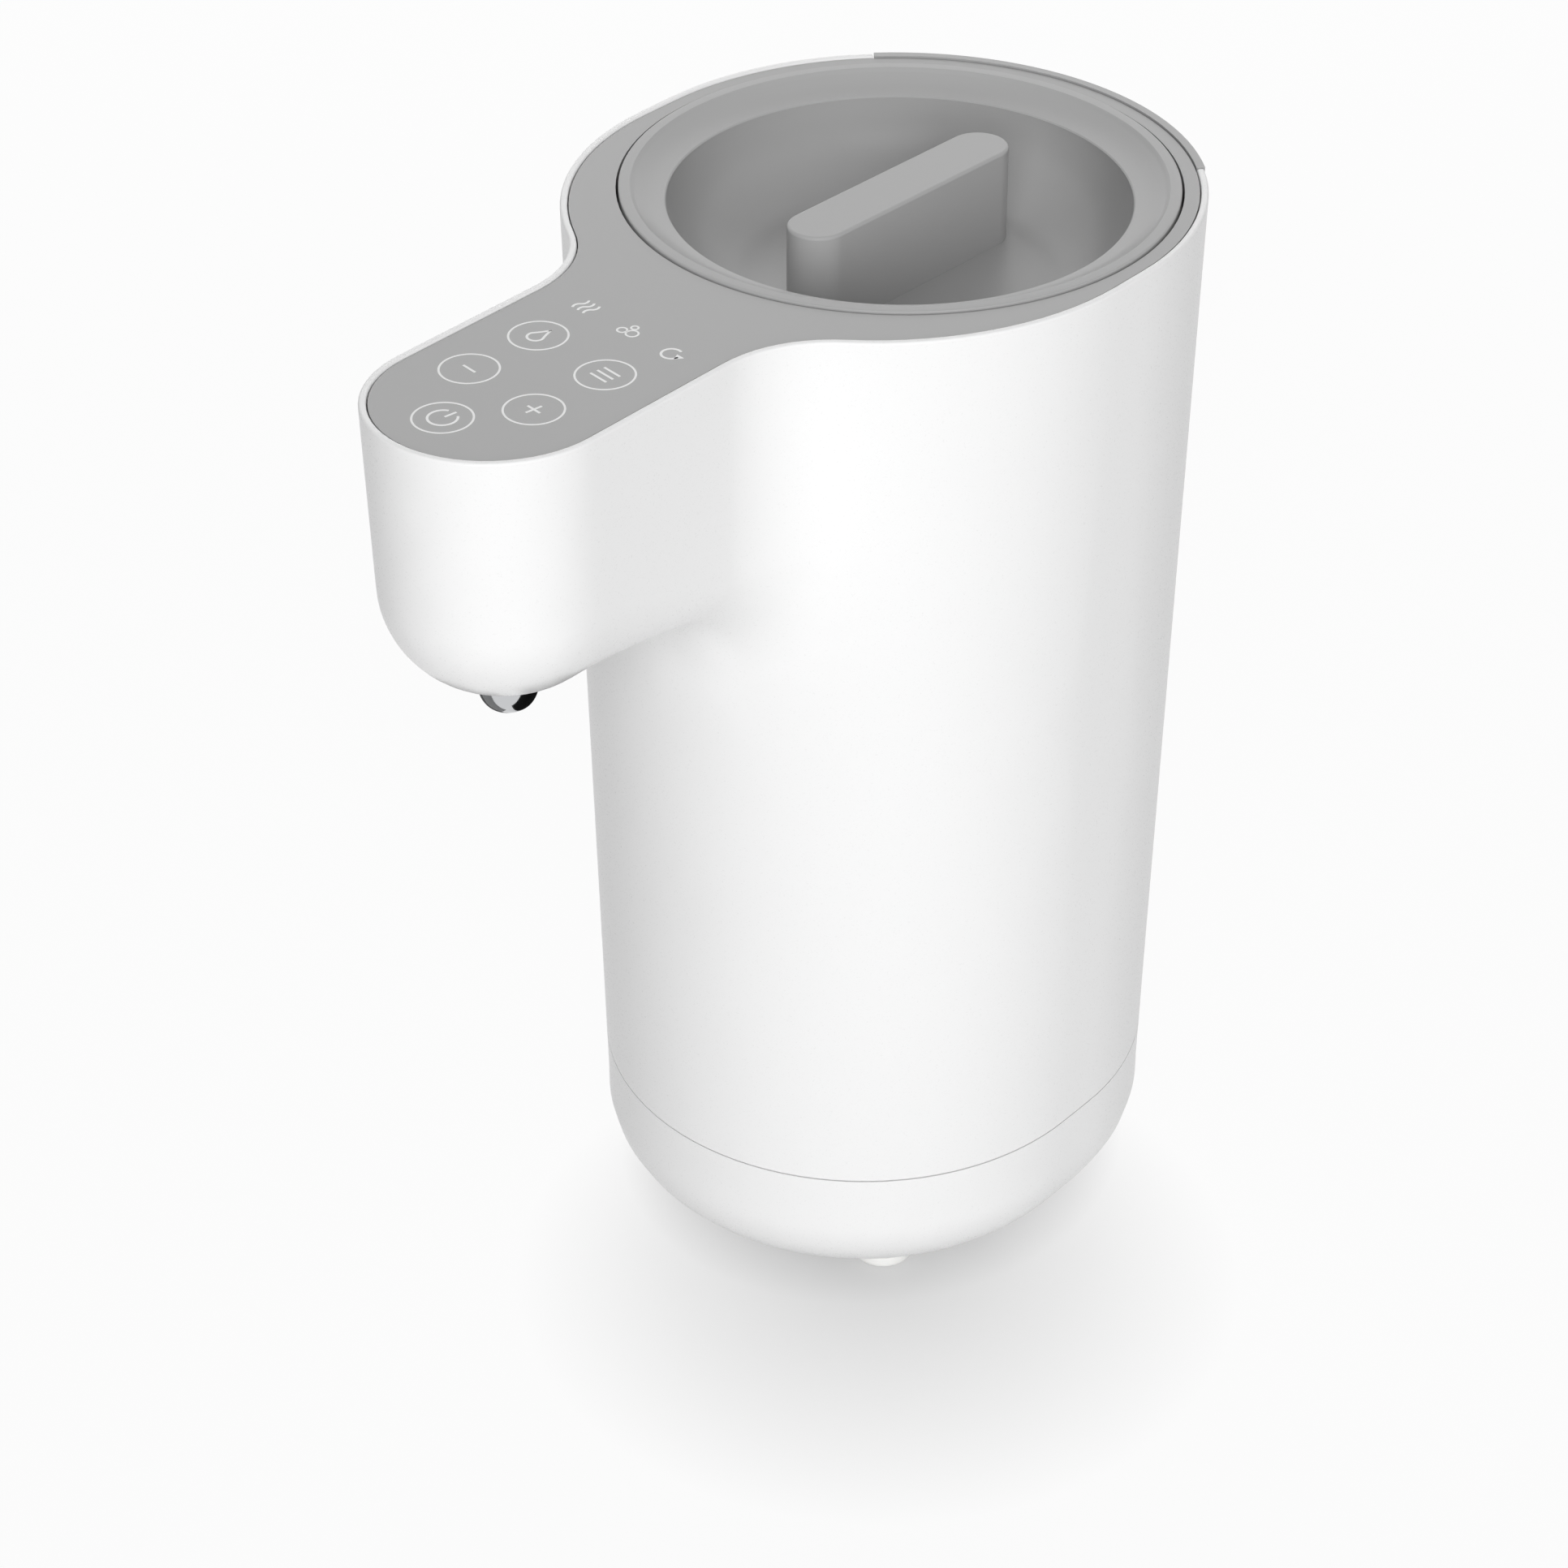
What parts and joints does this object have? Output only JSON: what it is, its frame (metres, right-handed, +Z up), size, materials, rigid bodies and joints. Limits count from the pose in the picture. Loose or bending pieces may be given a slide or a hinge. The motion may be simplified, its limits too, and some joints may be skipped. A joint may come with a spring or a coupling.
{
  "type": "baby formula maker",
  "caption": "Countertop water heater and dispenser for infant formula: oval white housing with an overhanging arm, touch panel, lift-off lid, heated liner and outlet nozzle.",
  "frame": {"origin": "on the resting surface, under the middle of the bounding box", "axes": "+Z up, the dispensing arm points along -Y, the power inlet faces +Y"},
  "size_m": [0.1218, 0.2008, 0.2407],
  "materials": {
    "white_shell": "white ABS, satin moulded",
    "grey_panel": "mid grey touch panel, satin gloss",
    "grey_lid": "mid grey ABS lid, moulded and polished",
    "grey_cover": "mid grey moulded rear cover",
    "black_plastic": "black moulded plastic",
    "natural_plastic": "natural heat-proof plastic",
    "white_silicone": "food-grade silicone",
    "white_rubber": "white elastomer feet",
    "grey_rubber": "moulded rubber",
    "stainless": "drawn stainless steel",
    "chrome": "bright plated",
    "aluminium": "die-cast aluminium",
    "zinc_screw": "zinc-plated steel screw",
    "brass": "plated brass pins",
    "circuit_board": "green solder-masked laminate",
    "component_blue": "blue component case",
    "component_yellow": "taped transformer winding",
    "led": "clear lens",
    "lead_black": "sleeved lead"
  },
  "bodies": {
    "base": {"housing": "white_shell", "base_shell": "white_shell", "feet": "white_rubber", "base_screws": "zinc_screw", "top_panel": "grey_panel", "rear_cover": "grey_cover", "power_inlet": "black_plastic", "inlet_pins": "brass", "liner": "stainless", "liner_gasket": "white_silicone", "liner_cradle": "natural_plastic", "cradle_screws": "zinc_screw", "heater_plate": "aluminium", "heating_element": "stainless", "heat_shield": "stainless", "thermostat": "black_plastic", "thermal_fuse": "stainless", "temperature_probe": "stainless", "inlet_hose": "white_silicone", "pump_pad": "grey_rubber", "pump_motor": "black_plastic", "pump_shaft": "stainless", "pump_housing": "black_plastic", "pump_screws": "zinc_screw", "delivery_hose": "white_silicone", "riser_tube": "natural_plastic", "riser_elbow": "natural_plastic", "arm_hose": "white_silicone", "nozzle_body": "natural_plastic", "nozzle_seal": "white_silicone", "nozzle_tip": "chrome", "fan_frame": "black_plastic", "fan_screws": "zinc_screw", "power_board": "circuit_board", "board_relay": "component_blue", "board_transformer": "component_yellow", "board_capacitors": "component_blue", "board_terminals": "component_blue", "board_plugs": "natural_plastic", "touch_board": "circuit_board", "touch_springs": "brass", "indicator_leds": "led", "touch_screws": "zinc_screw", "touch_lead": "lead_black", "mains_lead": "lead_black", "heater_lead": "lead_black"},
    "lid": {"lid_cover": "grey_lid", "lid_inner": "natural_plastic", "lid_seal": "white_silicone", "lid_screws": "stainless"},
    "pump_rotor": {"pump_rotor": "natural_plastic"},
    "fan_rotor": {"fan_rotor": "black_plastic"}
  },
  "joints": [
    {"name": "lid_lift", "type": "slide", "parent": "base", "child": "lid", "axis": [0, 0, 1], "range_m": [0, 0.06]},
    {"name": "pump_spin", "type": "hinge", "parent": "base", "child": "pump_rotor", "pos_m": [0, 0.0018, 0.036], "axis": [0, 0, 1], "continuous": true},
    {"name": "fan_spin", "type": "hinge", "parent": "base", "child": "fan_rotor", "pos_m": [0, 0.0563, 0.02], "axis": [0, 0, 1], "continuous": true}
  ]
}
